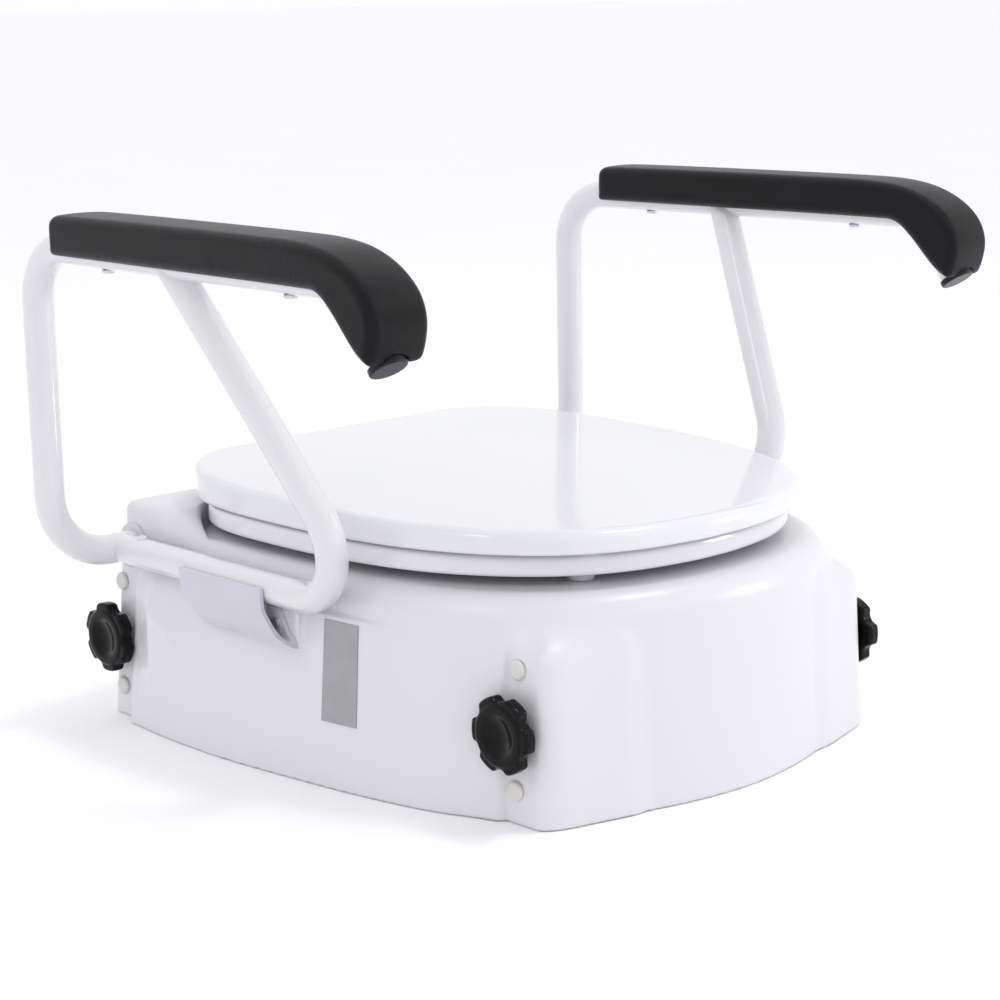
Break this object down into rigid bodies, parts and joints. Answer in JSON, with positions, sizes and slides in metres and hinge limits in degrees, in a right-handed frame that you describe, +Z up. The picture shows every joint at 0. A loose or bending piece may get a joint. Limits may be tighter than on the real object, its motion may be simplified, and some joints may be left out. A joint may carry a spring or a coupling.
{
  "type": "raised toilet seat",
  "caption": "Raised toilet seat with a hinged seat ring and lid, padded arms that swing back, and hand-knob clamps that fix it to the bowl.",
  "frame": {"origin": "centre of the bounding box footprint on the plane of the bottom rim", "axes": "+Z up, -Y towards the front of the seat, +X to the left of someone sitting on it"},
  "size_m": [0.5986, 0.4711, 0.385],
  "materials": {
    "body_plastic": "satin moulded",
    "seat_plastic": "gloss",
    "bumper_rubber": "matt",
    "coated_steel": "gloss powder coat",
    "pad_foam": "fine leather grain",
    "cap_plastic": "satin",
    "knob_plastic": "gloss",
    "fitting_plastic": "satin",
    "cradle_plastic": "satin, slightly translucent",
    "bracket_plastic": "satin",
    "grip_rubber": "matt, ribbed",
    "plug_plastic": "satin",
    "plate_metal": "brushed",
    "button_plastic": "gloss",
    "zinc_steel": "zinc plated"
  },
  "bodies": {
    "root": {"arm_cradle_left": "cradle_plastic", "arm_cradle_right": "cradle_plastic", "body_shell": "body_plastic", "cradle_screws_left": "zinc_steel", "cradle_screws_right": "zinc_steel", "hinge_pin_left": "zinc_steel", "hinge_pin_right": "zinc_steel", "hinge_post_left": "fitting_plastic", "hinge_post_right": "fitting_plastic", "hinge_screws": "zinc_steel", "hole_plugs": "plug_plastic", "label_plate": "plate_metal", "pivot_bushing_left": "fitting_plastic", "pivot_bushing_right": "fitting_plastic"},
    "ring": {"seat_ring": "seat_plastic", "seat_bumpers": "bumper_rubber"},
    "lid": {"lid": "seat_plastic", "lid_bumpers": "bumper_rubber"},
    "arm_left": {"arm_main_tube_left": "coated_steel", "arm_brace_tube_left": "coated_steel", "arm_pad_left": "pad_foam", "arm_pad_screws_left": "zinc_steel", "arm_end_cap_left": "cap_plastic", "pivot_collar_left": "zinc_steel"},
    "button_left": {"lock_button_left": "button_plastic"},
    "arm_right": {"arm_main_tube_right": "coated_steel", "arm_brace_tube_right": "coated_steel", "arm_pad_right": "pad_foam", "arm_pad_screws_right": "zinc_steel", "arm_end_cap_right": "cap_plastic", "pivot_collar_right": "zinc_steel"},
    "button_right": {"lock_button_right": "button_plastic"},
    "front_left_knob": {"front_left_knob": "knob_plastic", "front_left_clamp_screw": "zinc_steel", "front_left_clamp_clip": "zinc_steel"},
    "front_left_bracket": {"front_left_clamp_bracket": "bracket_plastic", "front_left_clamp_pad": "grip_rubber"},
    "front_right_knob": {"front_right_knob": "knob_plastic", "front_right_clamp_screw": "zinc_steel", "front_right_clamp_clip": "zinc_steel"},
    "front_right_bracket": {"front_right_clamp_bracket": "bracket_plastic", "front_right_clamp_pad": "grip_rubber"},
    "rear_left_knob": {"rear_left_knob": "knob_plastic", "rear_left_clamp_screw": "zinc_steel", "rear_left_clamp_clip": "zinc_steel"},
    "rear_left_bracket": {"rear_left_clamp_bracket": "bracket_plastic", "rear_left_clamp_pad": "grip_rubber"},
    "rear_right_knob": {"rear_right_knob": "knob_plastic", "rear_right_clamp_screw": "zinc_steel", "rear_right_clamp_clip": "zinc_steel"},
    "rear_right_bracket": {"rear_right_clamp_bracket": "bracket_plastic", "rear_right_clamp_pad": "grip_rubber"}
  },
  "joints": [
    {"name": "seat_ring_hinge", "type": "hinge", "parent": "root", "child": "ring", "pos_m": [0, 0.2013, 0.18], "axis": [-1, 0, 0], "range_deg": [0, 80]},
    {"name": "lid_hinge", "type": "hinge", "parent": "ring", "child": "lid", "pos_m": [0, 0.2013, 0.18], "axis": [-1, 0, 0], "range_deg": [0, 95]},
    {"name": "arm_swing_left", "type": "hinge", "parent": "root", "child": "arm_left", "pos_m": [0.207, 0.1993, 0.132], "axis": [-1, 0, 0], "range_deg": [0, 95]},
    {"name": "lock_button_press_left", "type": "slide", "parent": "arm_left", "child": "button_left", "axis": [0, 0, -1], "range_m": [0, 0.003], "stiffness_N_per_m": 400},
    {"name": "arm_swing_right", "type": "hinge", "parent": "root", "child": "arm_right", "pos_m": [-0.207, 0.1993, 0.132], "axis": [-1, 0, 0], "range_deg": [0, 95]},
    {"name": "lock_button_press_right", "type": "slide", "parent": "arm_right", "child": "button_right", "axis": [0, 0, -1], "range_m": [0, 0.003], "stiffness_N_per_m": 400},
    {"name": "front_left_knob_turn", "type": "hinge", "parent": "root", "child": "front_left_knob", "pos_m": [0.16285, -0.1763, 0.063], "axis": [-1, 0, 0], "range_deg": [0, 3600]},
    {"name": "front_left_bracket_travel", "type": "slide", "parent": "root", "child": "front_left_bracket", "axis": [-1, 0, 0], "range_m": [0, 0.0125]},
    {"name": "front_right_knob_turn", "type": "hinge", "parent": "root", "child": "front_right_knob", "pos_m": [-0.16285, -0.1763, 0.063], "axis": [1, 0, 0], "range_deg": [0, 3600]},
    {"name": "front_right_bracket_travel", "type": "slide", "parent": "root", "child": "front_right_bracket", "axis": [1, 0, 0], "range_m": [0, 0.0125]},
    {"name": "rear_left_knob_turn", "type": "hinge", "parent": "root", "child": "rear_left_knob", "pos_m": [0.20085, 0.2098, 0.063], "axis": [-1, 0, 0], "range_deg": [0, 3600]},
    {"name": "rear_left_bracket_travel", "type": "slide", "parent": "root", "child": "rear_left_bracket", "axis": [-1, 0, 0], "range_m": [0, 0.0125]},
    {"name": "rear_right_knob_turn", "type": "hinge", "parent": "root", "child": "rear_right_knob", "pos_m": [-0.20085, 0.2098, 0.063], "axis": [1, 0, 0], "range_deg": [0, 3600]},
    {"name": "rear_right_bracket_travel", "type": "slide", "parent": "root", "child": "rear_right_bracket", "axis": [1, 0, 0], "range_m": [0, 0.0125]}
  ],
  "couplings": [
    {"joint": "front_left_knob_turn", "follows": "front_left_bracket_travel", "rad_per_m": 5026.5},
    {"joint": "front_right_knob_turn", "follows": "front_right_bracket_travel", "rad_per_m": 5026.5},
    {"joint": "rear_left_knob_turn", "follows": "rear_left_bracket_travel", "rad_per_m": 5026.5},
    {"joint": "rear_right_knob_turn", "follows": "rear_right_bracket_travel", "rad_per_m": 5026.5}
  ]
}
